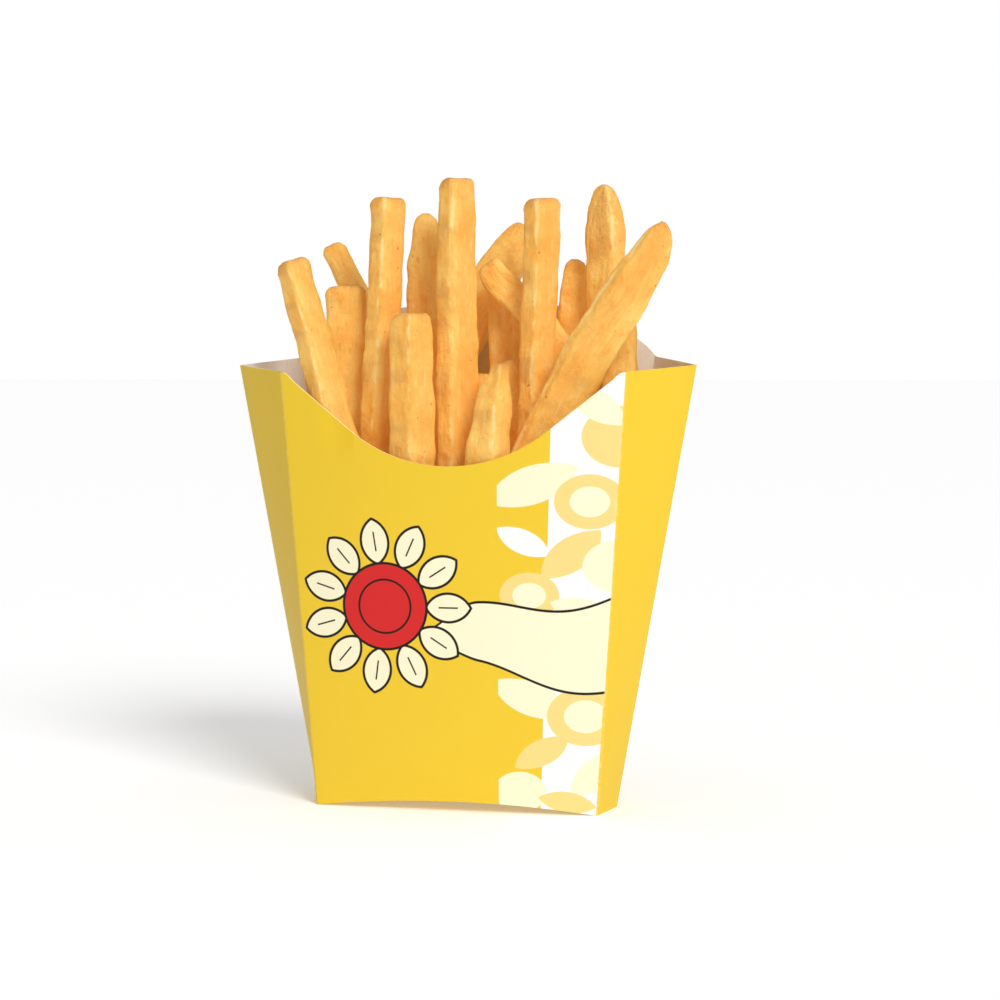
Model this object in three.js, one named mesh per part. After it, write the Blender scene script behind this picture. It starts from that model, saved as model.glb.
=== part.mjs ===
// French fry box: a folded paperboard scoop carton, filled with standing potato fries.
// Millimetres, +Z up. The scooped front panel faces -Y, and the carton stands on z = 0.
import * as THREE from "three";
import { mergeVertices } from "three/addons/utils/BufferGeometryUtils.js";

// Paperboard and clearances
const board = 0.5;
const clearance = 0.3;

// Folded carton: half widths at the foot and at the corner height of each crease
const frontHalfFoot = 35.3;
const frontHalfTop = 42.6;
const sideHalfFoot = 38.4;
const sideHalfTop = 58;
const backHalfTop = 45.6;
const depthFoot = 24.4;
const depthTop = 33.4;
const sideCreaseForward = 1.9;
const frontCornerHeight = 107.4;
const backCornerHeight = 111.3;

// Outward bow that the curved base creases force into the two wide panels
const bowFoot = 2.4;
const frontBowTop = 5.2;
const backBowTop = 4.2;
const baseArch = 2.6;

// Scoop of the front panel: a round bottom, straight flanks and a small shoulder
const scoopLow = 84.8;
const scoopRadius = 39;
const scoopFlankAngle = THREE.MathUtils.degToRad(38.5);
const scoopShoulder = 3;

// Crown of the back panel above its corners
const crownHeight = 126;
const crownCornerAngle = THREE.MathUtils.degToRad(50);
const crownCornerReach = 11;
const crownTopReach = 24;

// Glue joints: the lap inside one bevel, in columns and rows of its facets, and the two base flaps
const glueLapColumns = 2;
const glueLapRow = 1;
const baseFlapLap = 6;
const baseFlapRise = 3;

// Potato strips
const stripWidth = 8.8;
const stripDepth = 6.2;
const stripRoll = 4;
const cornerRound = 0.16;
const ridgeShoulder = -0.3;
const ridgeBack = 0.8;
const endRounding = 1.2;
const endScale = 0.8;
const pointLength = 20;
const pointNarrow = 0.9;
const waveShare = 0.05;
const waveTurns = 17;
const swayShare = 0.08;
const wallTilt = 2.4;

// The bed of short strips in the lower half of the carton
const bedStripSide = 7;
const bedHeight = 58;
const bedRanks = 3;
const bedPitchShare = 1.2;
const bedFan = 5;
const bedRoll = 6;
const bedSway = 2.3;
const bedShortest = 0.05;
const bedThinnest = 0.12;
const footTuck = 8;

// Facets
const wallRows = 8;
const arcSteps = 6;
const flankSteps = 3;
const shoulderSteps = 3;
const crownSteps = 9;
const bevelSteps = 3;
const edgeSamples = 16;
const tiny = 1e-9;
const cornerSteps = 2;
const stripSteps = 6;
const bedSteps = 3;

const { lerp, clamp, degToRad } = THREE.MathUtils;
const up = new THREE.Vector3(0, 0, 1);
const backward = new THREE.Vector3(0, 1, 0);

// Creases of the folded carton, on its outer face, at height z

const frontHalf = z => lerp(frontHalfFoot, frontHalfTop, z / frontCornerHeight);
const backHalf = z => lerp(frontHalfFoot, backHalfTop, z / backCornerHeight);
const halfDepth = z => lerp(depthFoot, depthTop, z / frontCornerHeight) / 2;
const sideCreaseHeight = lerp(frontCornerHeight, backCornerHeight, 0.5 - sideCreaseForward / depthTop);
const sideHalf = z => lerp(sideHalfFoot, sideHalfTop, z / sideCreaseHeight);
const sideCreaseY = z => -sideCreaseForward * z / sideCreaseHeight;
const frontBow = z => lerp(bowFoot, frontBowTop, z / scoopLow);
const backBow = z => lerp(bowFoot, backBowTop, z / backCornerHeight);

const frontCorner = (side, z) => new THREE.Vector2(side * frontHalf(z), -halfDepth(z));
const sideCrease = (side, z) => new THREE.Vector2(side * sideHalf(z), sideCreaseY(z));
const backCorner = (side, z) => new THREE.Vector2(side * backHalf(z), halfDepth(z));

// Each panel gives the point at share s across it, at height z

const panels = {
  front: (s, z) => new THREE.Vector2(s * frontHalf(z), -halfDepth(z) - frontBow(z) * (1 - s * s)),
  back: (s, z) => new THREE.Vector2(s * backHalf(z), halfDepth(z) + backBow(z) * (1 - s * s)),
  rightFront: (s, z) => frontCorner(1, z).lerp(sideCrease(1, z), s),
  rightBack: (s, z) => sideCrease(1, z).lerp(backCorner(1, z), s),
  leftBack: (s, z) => backCorner(-1, z).lerp(sideCrease(-1, z), s),
  leftFront: (s, z) => sideCrease(-1, z).lerp(frontCorner(-1, z), s),
};

// Die-cut outlines in the plane of their panel, from the middle out to the right corner

function scoopOutline() {
  const flankStart = scoopRadius * Math.sin(scoopFlankAngle);
  const flankFoot = scoopLow + scoopRadius * (1 - Math.cos(scoopFlankAngle));
  const shoulderX = frontHalfTop - scoopShoulder;
  const shoulderZ = flankFoot + (shoulderX - flankStart) * Math.tan(scoopFlankAngle);
  const start = -Math.PI / 2;
  const arc = new THREE.Path().absarc(0, scoopLow + scoopRadius, scoopRadius, start, start + scoopFlankAngle);
  const flank = new THREE.LineCurve(
    new THREE.Vector2(flankStart, flankFoot),
    new THREE.Vector2(shoulderX, shoulderZ),
  );
  const shoulder = new THREE.QuadraticBezierCurve(
    new THREE.Vector2(shoulderX, shoulderZ),
    new THREE.Vector2(lerp(shoulderX, frontHalfTop, 0.5), frontCornerHeight),
    new THREE.Vector2(frontHalfTop, frontCornerHeight),
  );
  return [
    ...arc.getPoints(arcSteps),
    ...flank.getPoints(flankSteps).slice(1),
    ...shoulder.getPoints(shoulderSteps).slice(1),
  ];
}

function crownOutline() {
  const corner = new THREE.Vector2(backHalfTop, backCornerHeight);
  const rise = new THREE.Vector2(-Math.cos(crownCornerAngle), Math.sin(crownCornerAngle));
  const curve = new THREE.CubicBezierCurve(
    new THREE.Vector2(0, crownHeight),
    new THREE.Vector2(crownTopReach, crownHeight),
    corner.clone().addScaledVector(rise, crownCornerReach),
    corner,
  );
  return curve.getPoints(crownSteps);
}

// Height of the crown at share s across the back panel
function crownAt(s, outline) {
  const shares = outline.map(p => p.x / backHalf(p.y));
  const next = shares.findIndex(share => share >= s);
  if (next <= 0) return next < 0 ? backCornerHeight : crownHeight;
  const part = (s - shares[next - 1]) / (shares[next] - shares[next - 1]);
  return lerp(outline[next - 1].y, outline[next].y, part);
}

// Stations along the rim, each with its panel, its share of the panel, and the heights of its ends

function panelStations() {
  const crown = crownOutline();
  const right = scoopOutline().map(p => ({ s: p.x / frontHalf(p.y), top: p.y }));
  right[right.length - 1].s = 1;
  const left = right.slice(1).map(p => ({ s: -p.s, top: p.top })).reverse();
  const front = [...left, ...right].map(({ s, top }) => {
    return { panel: "front", s, low: baseArch * (1 - s * s), top };
  });
  const back = front.map(({ s, low }) => ({ panel: "back", s, low, top: crownAt(Math.abs(s), crown) }));
  return { front, back: back.reverse() };
}

// Both bevels at one end, from crease to crease, without the two panel corners
function bevelStations(first, firstTop, second, secondTop) {
  const steps = [];
  for (let i = 1; i < bevelSteps; i++) steps.push(i / bevelSteps);
  const station = (panel, s, top) => ({ panel, s, low: 0, top });
  return [
    ...steps.map(s => station(first, s, lerp(firstTop, sideCreaseHeight, s))),
    station(first, 1, sideCreaseHeight),
    ...steps.map(s => station(second, s, lerp(sideCreaseHeight, secondTop, s))),
  ];
}

const { front, back } = panelStations();
const rightBevels = bevelStations("rightFront", frontCornerHeight, "rightBack", backCornerHeight);
const leftBevels = bevelStations("leftBack", backCornerHeight, "leftFront", frontCornerHeight);
const rim = [...front, ...rightBevels, ...back, ...leftBevels];
const rightStart = front.length;
const backStart = rightStart + rightBevels.length;
const leftStart = backStart + back.length;
const leftCrease = leftStart + bevelSteps - 1;

// Inward mitre at a station: how far the inner face moves for one unit of board
function mitre(before, point, after) {
  const enter = point.clone().sub(before).normalize();
  const leave = after.clone().sub(point).normalize();
  const inEnter = new THREE.Vector2(-enter.y, enter.x);
  const inLeave = new THREE.Vector2(-leave.y, leave.x);
  const middle = inEnter.clone().add(inLeave).normalize();
  return middle.multiplyScalar(1 / middle.dot(inEnter));
}

// The point of rim station i at height z, set in from the outer face
function wallPoint(i, z, inset) {
  const [before, point, after] = [-1, 0, 1].map(step => {
    const station = rim[(i + step + rim.length) % rim.length];
    return panels[station.panel](station.s, z);
  });
  point.addScaledVector(mitre(before, point, after), inset);
  return new THREE.Vector3(point.x, point.y, z);
}

// A skin gathers triangles by their corners, and becomes one closed surface when its corners merge

class Skin {
  corners = [];

  triangle(a, b, c) {
    this.corners.push(a, b, c);
  }

  quad(a, b, c, d) {
    this.triangle(a, b, c);
    this.triangle(a, c, d);
  }

  fan(hub, rimPoints, turned) {
    for (let i = 0; i + 1 < rimPoints.length; i++) {
      const [from, to] = turned ? [i + 1, i] : [i, i + 1];
      this.triangle(hub, rimPoints[from], rimPoints[to]);
    }
  }

  geometry() {
    const loose = new THREE.BufferGeometry().setFromPoints(this.corners);
    const merged = mergeVertices(loose);
    merged.computeVertexNormals();
    return merged;
  }
}

// The glue lap doubles the board inside the left back bevel, from the side crease inwards
function layers(i, row) {
  const besideCrease = i >= leftCrease - glueLapColumns && i < leftCrease;
  return besideCrease && row >= glueLapRow && row < wallRows - glueLapRow ? 2 : 1;
}

function addWalls(skin) {
  const outer = (i, row) => wallPoint(i, lerp(rim[i].low, rim[i].top, row / wallRows), 0);
  const inner = (i, row, inset) => wallPoint(i, lerp(rim[i].low + board, rim[i].top, row / wallRows), inset);
  for (let i = 0; i < rim.length; i++) {
    const next = (i + 1) % rim.length;
    for (let row = 0; row < wallRows; row++) {
      const inset = layers(i, row) * board;
      const beside = layers(next, row) * board;
      const above = layers(i, row + 1) * board;
      const top = row + 1;
      skin.quad(outer(i, row), outer(next, row), outer(next, top), outer(i, top));
      skin.quad(inner(next, row, inset), inner(i, row, inset), inner(i, top, inset), inner(next, top, inset));
      if (beside !== inset) {
        const [low, high] = [row, top].map(k => [inner(next, k, beside), inner(next, k, inset)]);
        skin.quad(low[0], low[1], high[1], high[0]);
      }
      if (above !== inset && top < wallRows) {
        const [from, to] = [i, next].map(k => [inner(k, top, inset), inner(k, top, above)]);
        skin.quad(to[0], from[0], from[1], to[1]);
      }
    }
    const [from, to] = [i, next].map(k => [outer(k, wallRows), inner(k, wallRows, board)]);
    skin.quad(from[0], to[0], to[1], from[1]);
  }
}

// One line across the base from front to back, with the step where a flap ends on the other
function baseLine(column, lift, inset, stepY) {
  const low = front[column].low + lift;
  const from = wallPoint(column, low, inset);
  const to = wallPoint(backStart + back.length - 1 - column, low, inset);
  const at = (y, rise) => {
    const point = from.clone().lerp(to, (y - from.y) / (to.y - from.y));
    return point.setZ(low + rise);
  };
  return [from, at(stepY, 0), at(stepY, board), at(to.y - baseFlapRise, board), to];
}

// Arched base: the front flap underneath, the back flap glued on it. A flat triangular gusset
// closes each end and stands on the table.
function addBase(skin) {
  const below = front.map((_, column) => baseLine(column, 0, 0, baseFlapLap));
  const above = front.map((_, column) => baseLine(column, board, board, -baseFlapLap));
  for (let i = 0; i + 1 < front.length; i++) {
    for (let k = 0; k + 1 < below[i].length; k++) {
      skin.quad(below[i][k], below[i][k + 1], below[i + 1][k + 1], below[i + 1][k]);
      skin.quad(above[i][k], above[i + 1][k], above[i + 1][k + 1], above[i][k + 1]);
    }
  }
  const bevelEdge = (start, count, z, inset) => {
    const edge = [];
    for (let i = start - 1; i <= start + count; i++) edge.push(wallPoint(i % rim.length, z, inset));
    return edge;
  };
  for (const [line, start, count] of [
    [front.length - 1, rightStart, rightBevels.length],
    [0, leftStart, leftBevels.length],
  ]) {
    const right = line > 0;
    const [, foot, footTop, riseFoot, backFoot] = below[line];
    const [, top, topRise, riseTop, backTop] = above[line];
    skin.fan(foot, bevelEdge(start, count, 0, 0), true);
    skin.fan(top, bevelEdge(start, count, board, board), false);
    if (right) {
      skin.quad(foot, footTop, riseFoot, backFoot);
      skin.quad(backTop, riseTop, topRise, top);
    } else {
      skin.quad(backFoot, riseFoot, footTop, foot);
      skin.quad(top, topRise, riseTop, backTop);
    }
  }
}

function carton() {
  const skin = new Skin();
  addWalls(skin);
  addBase(skin);
  return skin.geometry();
}

// Potato strips. Each is a prism of its own section, turned to its lean, and its body fills it.

// Section of a strip in shares of its half width and half depth: a square, or a knife-cut section
// with a ridge down its front
function sectionCorners(ridge) {
  const corners = ridge === undefined
    ? [[-1, -1], [1, -1], [1, 1], [-1, 1]]
    : [[ridge, -1], [1, ridgeShoulder], [ridgeBack, 1], [-ridgeBack, 1], [-1, ridgeShoulder]];
  return corners.map(([x, y]) => new THREE.Vector2(x, y));
}

function stripPrism({ width, depth, length, lean, tilt, roll, ridge }) {
  const along = new THREE.Vector3(Math.sin(degToRad(lean)), Math.sin(degToRad(tilt)), 1).normalize();
  const turn = new THREE.Quaternion().setFromUnitVectors(up, along);
  turn.multiply(new THREE.Quaternion().setFromAxisAngle(up, degToRad(roll)));
  const axes = [new THREE.Vector3(1, 0, 0), new THREE.Vector3(0, 1, 0), up].map(axis => {
    return axis.clone().applyQuaternion(turn);
  });
  const across = ({ x, y }) => axes[0].clone().multiplyScalar(x).addScaledVector(axes[1], y);
  const half = [width / 2, depth / 2, length / 2];
  const corners = sectionCorners(ridge).map(p => new THREE.Vector2(p.x * half[0], p.y * half[1]));
  const sides = corners.map((corner, k) => corners[(k + 1) % corners.length].clone().sub(corner));
  return {
    axes,
    turn,
    half,
    centre: new THREE.Vector3(),
    section: corners.map(across),
    normals: [...sides.map(({ x, y }) => across({ x: y, y: -x }).normalize()), axes[2]],
    edges: [...sides.map(side => across(side).normalize()), axes[2]],
  };
}

// How far a prism reaches from its centre along a direction
const reach = (prism, direction) => {
  const ends = prism.half[2] * Math.abs(prism.axes[2].dot(direction));
  return ends + Math.max(...prism.section.map(corner => corner.dot(direction)));
};

// The stretch of a prism's travel along a direction in which it would come within a margin of another
function overlapSpan(moving, fixed, direction, margin) {
  const crosses = moving.edges.flatMap(a => fixed.edges.map(b => a.clone().cross(b)));
  const offset = fixed.centre.clone().sub(moving.centre);
  let [from, to] = [-Infinity, Infinity];
  for (const axis of [...moving.normals, ...fixed.normals, ...crosses]) {
    if (axis.lengthSq() < tiny) continue;
    axis.normalize();
    const back = axis.clone().negate();
    const ahead = reach(moving, axis) + reach(fixed, back) + margin;
    const behind = reach(moving, back) + reach(fixed, axis) + margin;
    const speed = direction.dot(axis);
    const apart = offset.dot(axis);
    if (Math.abs(speed) < tiny) {
      if (apart > ahead || apart < -behind) return null;
      continue;
    }
    const meets = [(apart - ahead) / speed, (apart + behind) / speed].sort((a, b) => a - b);
    from = Math.max(from, meets[0]);
    to = Math.min(to, meets[1]);
    if (from >= to) return null;
  }
  return { from, to };
}

const spansOf = (prism, others, direction, margin) => {
  return others.map(other => overlapSpan(prism, other, direction, margin)).filter(span => span);
};

// Points along the long edges of a prism, for its clearance from the bowed panels
function edgePoints(prism) {
  return prism.section.flatMap(corner => Array.from({ length: edgeSamples + 1 }, (_, k) => {
    const along = lerp(-prism.half[2], prism.half[2], k / edgeSamples);
    return prism.centre.clone().add(corner).addScaledVector(prism.axes[2], along);
  }));
}

const frontInside = (x, z) => panels.front(clamp(x / frontHalf(z), -1, 1), z).y + board + clearance;
const backInside = (x, z) => panels.back(clamp(x / backHalf(z), -1, 1), z).y - board - clearance;

// The travel along Y that puts a prism at a share of the room between the front and back panels
function travelBetweenPanels(prism, share) {
  const points = edgePoints(prism).filter(point => point.z < frontCornerHeight);
  const nearest = Math.max(...points.map(point => frontInside(point.x, point.z) - point.y));
  const farthest = Math.min(...points.map(point => backInside(point.x, point.z) - point.y));
  return { nearest, farthest, wanted: lerp(nearest, farthest, share) };
}

// The free place nearest to the wanted one, inside the panels where there is room
function freeTravel({ nearest, farthest, wanted }, spans) {
  const places = [wanted, ...spans.flatMap(span => [span.from, span.to])];
  const free = places.filter(place => {
    return !spans.some(span => place > span.from + tiny && place < span.to - tiny);
  });
  const inside = place => place >= nearest - tiny && place <= farthest + tiny;
  free.sort((a, b) => inside(b) - inside(a) || Math.abs(a - wanted) - Math.abs(b - wanted));
  return free[0];
}

// The bed: short strips that stand on the base in ranks between the panels
function bedStrips() {
  const pitch = bedStripSide * bedPitchShare;
  const columns = Math.floor(2 * (frontHalfFoot - board) / pitch);
  const placed = [];
  for (let rank = 0; rank < bedRanks; rank++) {
    const share = rank / (bedRanks - 1);
    for (let column = 0; column < columns; column++) {
      const x = (column - (columns - 1) / 2) * pitch;
      const sway = Math.sin(bedSway * (rank * columns + column + 1));
      const lean = bedFan * x / frontHalfFoot;
      const strip = stripPrism({
        width: bedStripSide * (1 - bedThinnest * Math.abs(sway)),
        depth: bedStripSide,
        length: bedHeight * (1 - bedShortest * (0.5 + 0.5 * sway)),
        lean,
        tilt: lerp(-wallTilt, wallTilt, share),
        roll: bedRoll * sway,
      });
      const rise = reach(strip, up) + clearance;
      const floor = baseArch * (1 - (x / frontHalfFoot) ** 2) + 2 * board;
      strip.centre.set(x + Math.tan(degToRad(lean)) * rise, 0, floor + rise);
      strip.centre.y += travelBetweenPanels(strip, share).wanted;
      placed.push(strip);
    }
  }
  return placed;
}

// The standing strips that show. across is where a strip's middle passes the lowest point of the
// scoop, rise is how far its tip stands above that point, and back is its share of the depth.
// tuck is how far below that point it must be free of its neighbours, a wedged one less. The
// others stand with the turn of stripRoll and with the tilt of the panel that they are near.
const standing = [
  { name: "short_front", across: -9.9, rise: 36.8, lean: -0.4, back: 0, width: 10.2, ridge: 0.1 },
  { name: "left_outer", across: -26.9, rise: 49.8, lean: -14.9, roll: -5, back: 0, width: 9.4, ridge: 0 },
  { name: "right_stub", across: 8.2, rise: 24, lean: 11, roll: 8, back: 0, width: 10, ridge: 0.3 },
  {
    name: "right_diagonal", across: 18.2, rise: 56, lean: 31, roll: -5, back: 0.1,
    width: 11.2, ridge: -0.5, point: true,
  },
  { name: "centre_tall", across: 0.2, rise: 69.4, lean: -0.3, back: 0.2, ridge: -0.15 },
  { name: "left_tall", across: -20.6, rise: 65.2, lean: 2.2, back: 0.25, ridge: -0.05 },
  { name: "right_tall", across: 18.3, rise: 64.7, lean: 0.8, back: 0.35, ridge: -0.1 },
  { name: "left_upright", across: -28.3, rise: 43.9, lean: -1.6, back: 0.45, width: 9.4 },
  { name: "right_low", across: 39, rise: 35.2, lean: -0.8, back: 0.5 },
  { name: "centre_pointed", across: -12.7, rise: 61.7, lean: 3.5, back: 0.6, width: 9.4, point: true },
  { name: "centre_low", across: 2.4, rise: 22, lean: 1, back: 0.6, width: 8.4 },
  { name: "right_leaning", across: 19.2, rise: 25, lean: -21, back: 0.5, tuck: 0, width: 7 },
  {
    name: "right_pointed", across: 33.8, rise: 67.1, lean: 0.6, roll: -6, back: 0.7,
    width: 9.6, ridge: 0.45, point: true,
  },
  {
    name: "centre_cross", across: 42.8, rise: 51.1, lean: -44.8, back: 0.5,
    tuck: -27, width: 6, depth: 5.4,
  },
  { name: "back_left", across: -9.8, rise: 55.8, lean: -25, back: 0.8, width: 6.2, depth: 5.6 },
  {
    name: "back_upright", across: 8.7, rise: 45.2, lean: -0.9, back: 0.8,
    tuck: 0, width: 8.4, depth: 5.8,
  },
  { name: "right_round", across: 25.1, rise: 50.2, lean: 1, back: 0.95, width: 7.8, depth: 6, point: true },
  {
    name: "back_diagonal", across: -19.4, rise: 57.5, lean: 29.1, tilt: 8, roll: -5, back: 0.9,
    tuck: -24, width: 9.4, depth: 5.8,
  },
];

const bedTop = baseArch + 2 * board + bedHeight;

// Each standing strip finds its place beside the strips before it, then slides down its own axis
// until its foot meets the bed or another strip
function standingStrips(bed) {
  const placed = [];
  for (const strip of standing) {
    const tilt = lerp(-wallTilt, wallTilt, strip.back);
    const usual = { width: stripWidth, depth: stripDepth, roll: stripRoll, length: 1, tilt };
    const shown = stripPrism({ ...usual, ...strip });
    const climb = shown.axes[2].clone().divideScalar(shown.axes[2].z);
    const span = foot => {
      const centre = new THREE.Vector3(strip.across, 0, scoopLow);
      const [halfWidth, halfThick] = shown.half;
      const halfLength = (strip.rise + foot) * climb.length() / 2;
      centre.addScaledVector(climb, (strip.rise - foot) / 2);
      return { ...shown, half: [halfWidth, halfThick, halfLength], centre };
    };
    const piece = span(strip.tuck ?? footTuck);
    const room = travelBetweenPanels(span(scoopLow - bedTop), strip.back);
    piece.centre.y += freeTravel(room, spansOf(piece, placed, backward, clearance));
    const down = piece.axes[2].clone().negate();
    const meets = spansOf(piece, [...bed, ...placed], down, clearance / 2).filter(({ to }) => to > 0);
    const toDeepest = (piece.centre.z - reach(piece, up) - bedTop + footTuck) / piece.axes[2].z;
    const drop = Math.min(toDeepest, ...meets.map(({ from }) => from - clearance / 2));
    piece.half[2] += drop / 2;
    piece.centre.addScaledVector(down, drop / 2);
    placed.push(piece);
  }
  return placed;
}

// The section with its corners rounded
function roundedSection(ridge) {
  const points = sectionCorners(ridge);
  return points.flatMap((corner, k) => {
    const before = points[(k + points.length - 1) % points.length];
    const after = points[(k + 1) % points.length];
    const enter = corner.clone().lerp(before, cornerRound);
    const leave = corner.clone().lerp(after, cornerRound);
    return new THREE.QuadraticBezierCurve(enter, corner, leave).getPoints(cornerSteps);
  });
}

// The strip's own body inside its prism. Its outline waves a little and narrows at the tip.
function stripGeometry(prism, { ridge, point, steps, seed }) {
  const [halfWidth, halfThick, halfLength] = prism.half;
  const section = roundedSection(ridge);
  const end = endRounding / (2 * halfLength);
  const pointStart = point ? 1 - pointLength / (2 * halfLength) : 1;
  const shares = [0, end, ...Array.from({ length: steps - 1 }, (_, k) => (k + 1) / steps), 1 - end, 1];
  const rings = shares.map(share => {
    const blunt = share === 1 ? endScale : 1;
    const past = point ? Math.max(share - pointStart, 0) / (1 - pointStart) : 0;
    const narrow = blunt * Math.sqrt(1 - (past * pointNarrow) ** 2);
    const wave = 1 - waveShare * share * (1 + Math.sin(seed + waveTurns * share));
    const sway = swayShare * (Math.sin(Math.PI * share) - 0.5);
    const room = 1 - swayShare / 2;
    return section.map(({ x, y }) => new THREE.Vector3(
      halfWidth * (x * narrow * wave * room + sway),
      halfThick * y * narrow * wave,
      lerp(-halfLength, halfLength, share),
    ));
  });
  const skin = new Skin();
  for (let r = 0; r + 1 < rings.length; r++) {
    section.forEach((_, k) => {
      const next = (k + 1) % section.length;
      skin.quad(rings[r][k], rings[r][next], rings[r + 1][next], rings[r + 1][k]);
    });
  }
  const [foot, top] = [rings[0], rings[rings.length - 1]];
  skin.fan(foot[0], foot.slice(1), true);
  skin.fan(top[0], top.slice(1), false);
  return skin.geometry();
}

const cartonMaterial = new THREE.MeshStandardMaterial({ color: 0xf7d244, roughness: 0.55, metalness: 0 });
const stripMaterial = new THREE.MeshStandardMaterial({ color: 0xe8ac57, roughness: 0.6, metalness: 0 });

const pack = new THREE.Group();

function addPart(name, geometry, material) {
  const part = new THREE.Mesh(geometry, material);
  part.name = name;
  pack.add(part);
  return part;
}

function addStrip(name, prism, shape) {
  const part = addPart(name, stripGeometry(prism, shape), stripMaterial);
  part.quaternion.copy(prism.turn);
  part.position.copy(prism.centre);
}

addPart("carton", carton(), cartonMaterial);
const bed = bedStrips();
bed.forEach((strip, k) => {
  addStrip(`fry_bed_${String(k + 1).padStart(2, "0")}`, strip, { steps: bedSteps, seed: k });
});
standingStrips(bed).forEach((strip, k) => {
  addStrip(`fry_${standing[k].name}`, strip, { ...standing[k], steps: stripSteps, seed: k });
});

// The origin is under the middle of the whole pack, on the surface it stands on
pack.updateMatrixWorld(true);
const middle = new THREE.Box3().setFromObject(pack, true).getCenter(new THREE.Vector3());
for (const part of pack.children) part.position.sub(new THREE.Vector3(middle.x, middle.y, 0));

export default pack;
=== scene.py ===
"""French fry box: a folded paperboard scoop carton full of potato fries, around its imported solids."""

import math
from collections import namedtuple

import bmesh
import bpy
import numpy as np
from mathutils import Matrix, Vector, noise


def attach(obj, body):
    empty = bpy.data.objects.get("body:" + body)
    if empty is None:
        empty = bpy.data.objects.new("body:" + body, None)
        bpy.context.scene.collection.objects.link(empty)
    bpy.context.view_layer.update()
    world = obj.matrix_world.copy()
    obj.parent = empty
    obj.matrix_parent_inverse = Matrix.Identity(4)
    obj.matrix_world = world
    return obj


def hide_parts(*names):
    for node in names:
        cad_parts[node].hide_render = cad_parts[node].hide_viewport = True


bl_info = {
    "name": "French fry box",
    "version": (1, 0, 0),
    "blender": (4, 5, 0),
    "location": "View3D > Sidebar > Fry box",
    "description": "Dresses a folded scoop carton and its potato fries",
    "category": "Object",
}

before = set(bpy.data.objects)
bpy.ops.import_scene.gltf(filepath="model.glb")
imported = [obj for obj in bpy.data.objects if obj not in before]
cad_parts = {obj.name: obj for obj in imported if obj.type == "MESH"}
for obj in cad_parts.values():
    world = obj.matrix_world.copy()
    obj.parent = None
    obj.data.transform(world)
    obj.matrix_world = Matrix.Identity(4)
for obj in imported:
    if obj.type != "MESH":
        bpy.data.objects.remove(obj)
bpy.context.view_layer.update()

MM = 0.001

# The folded carton, in millimetres: half widths of the front panel at the foot and at its corners
FRONT_HALF_FOOT = 35.3
FRONT_HALF_TOP = 42.6
CORNER_HEIGHT = 107.4
RIM_LOWEST = 80.0

# Which edges of the carton are folds: how upright they run, and how far the board turns there
FOLD_UPRIGHT = 0.9
FOLD_TURN_LEAST = math.radians(12)
FOLD_TURN_MOST = math.radians(85)
FOLD_SEGMENTS = 4

# Turn of the surface up to which it is shaded smooth
SMOOTH_WITHIN = math.radians(32)

# How a face tells its kind: lying flat, tilted up at the cut rim, or facing the front
LYING = 0.5
RIM_TILT = 0.45
FACING_FRONT = 0.85

# Places of the carton's materials on its mesh
PRINTED_FRONT = 0
YELLOW_OUTSIDE = 1
BARE_INSIDE = 2
CUT_EDGE = 3

# Camera, measured on the photograph: where it stands and what it looks at in metres, and its lens
CAMERA_PLACE = Vector((0.1180, -0.5345, 0.1073))
CAMERA_TARGET = Vector((0.0088, -0.0005, 0.07568))
CAMERA_LENS = 79.2
CAMERA_SENSOR = 36.0
CAMERA_SEES_FROM = 0.01
CAMERA_SEES_TO = 50.0

# Where the key light stands: its turn to the right of the front, and its rise for one unit away
KEY_TURN = math.radians(38)
KEY_RISE = 0.72

# Softness of both lights, in degrees of sky
KEY_SOFTNESS = 24
TOP_SOFTNESS = 80

# Floor and surroundings
WHITE = (1.0, 1.0, 1.0, 1.0)
FLOOR_PALE = (0.93, 0.93, 0.93, 1.0)
FLOOR_DEEP = (0.88, 0.88, 0.88, 1.0)
FLOOR_CLOUD = (0.02, 2.0)
FLOOR_CLOUD_SHARE = 0.02
FLOOR_GLOW = 0.21


# Small tools for the modelling operators

MERGE_WITHIN = 0.004 * MM
QUAD_FLATNESS = math.radians(10)
QUAD_SKEW = math.radians(40)


def deselect():
    """Leaves nothing selected and no mode but object mode."""
    if bpy.context.mode != "OBJECT":
        bpy.ops.object.mode_set(mode="OBJECT")
    bpy.ops.object.select_all(action="DESELECT")


def choose(piece):
    """Makes a piece the only selected and the active one."""
    deselect()
    piece.select_set(True)
    bpy.context.view_layer.objects.active = piece


def copied(node, name):
    """A merged copy of a CAD node's mesh, as a piece of its own."""
    piece = bpy.data.objects.new(name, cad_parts[node].data.copy())
    bpy.context.scene.collection.objects.link(piece)
    choose(piece)
    bpy.ops.object.mode_set(mode="EDIT")
    bpy.ops.mesh.select_all(action="SELECT")
    bpy.ops.mesh.remove_doubles(threshold=MERGE_WITHIN)
    bpy.ops.mesh.tris_convert_to_quads(face_threshold=QUAD_FLATNESS, shape_threshold=QUAD_SKEW)
    bpy.ops.mesh.select_all(action="DESELECT")
    bpy.ops.object.mode_set(mode="OBJECT")
    piece.data.materials.clear()
    return piece


def finish_piece(piece, node):
    """Joins a finished piece to the frame in place of its CAD node."""
    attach(piece, "root")
    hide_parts(node)


# Materials: shader maths written as sums


# Sockets of a Mix node that mixes colours: the factor, both colours, and the result
MIX_FACTOR = 0
MIX_FIRST = 6
MIX_SECOND = 7
MIX_RESULT = 2


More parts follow.
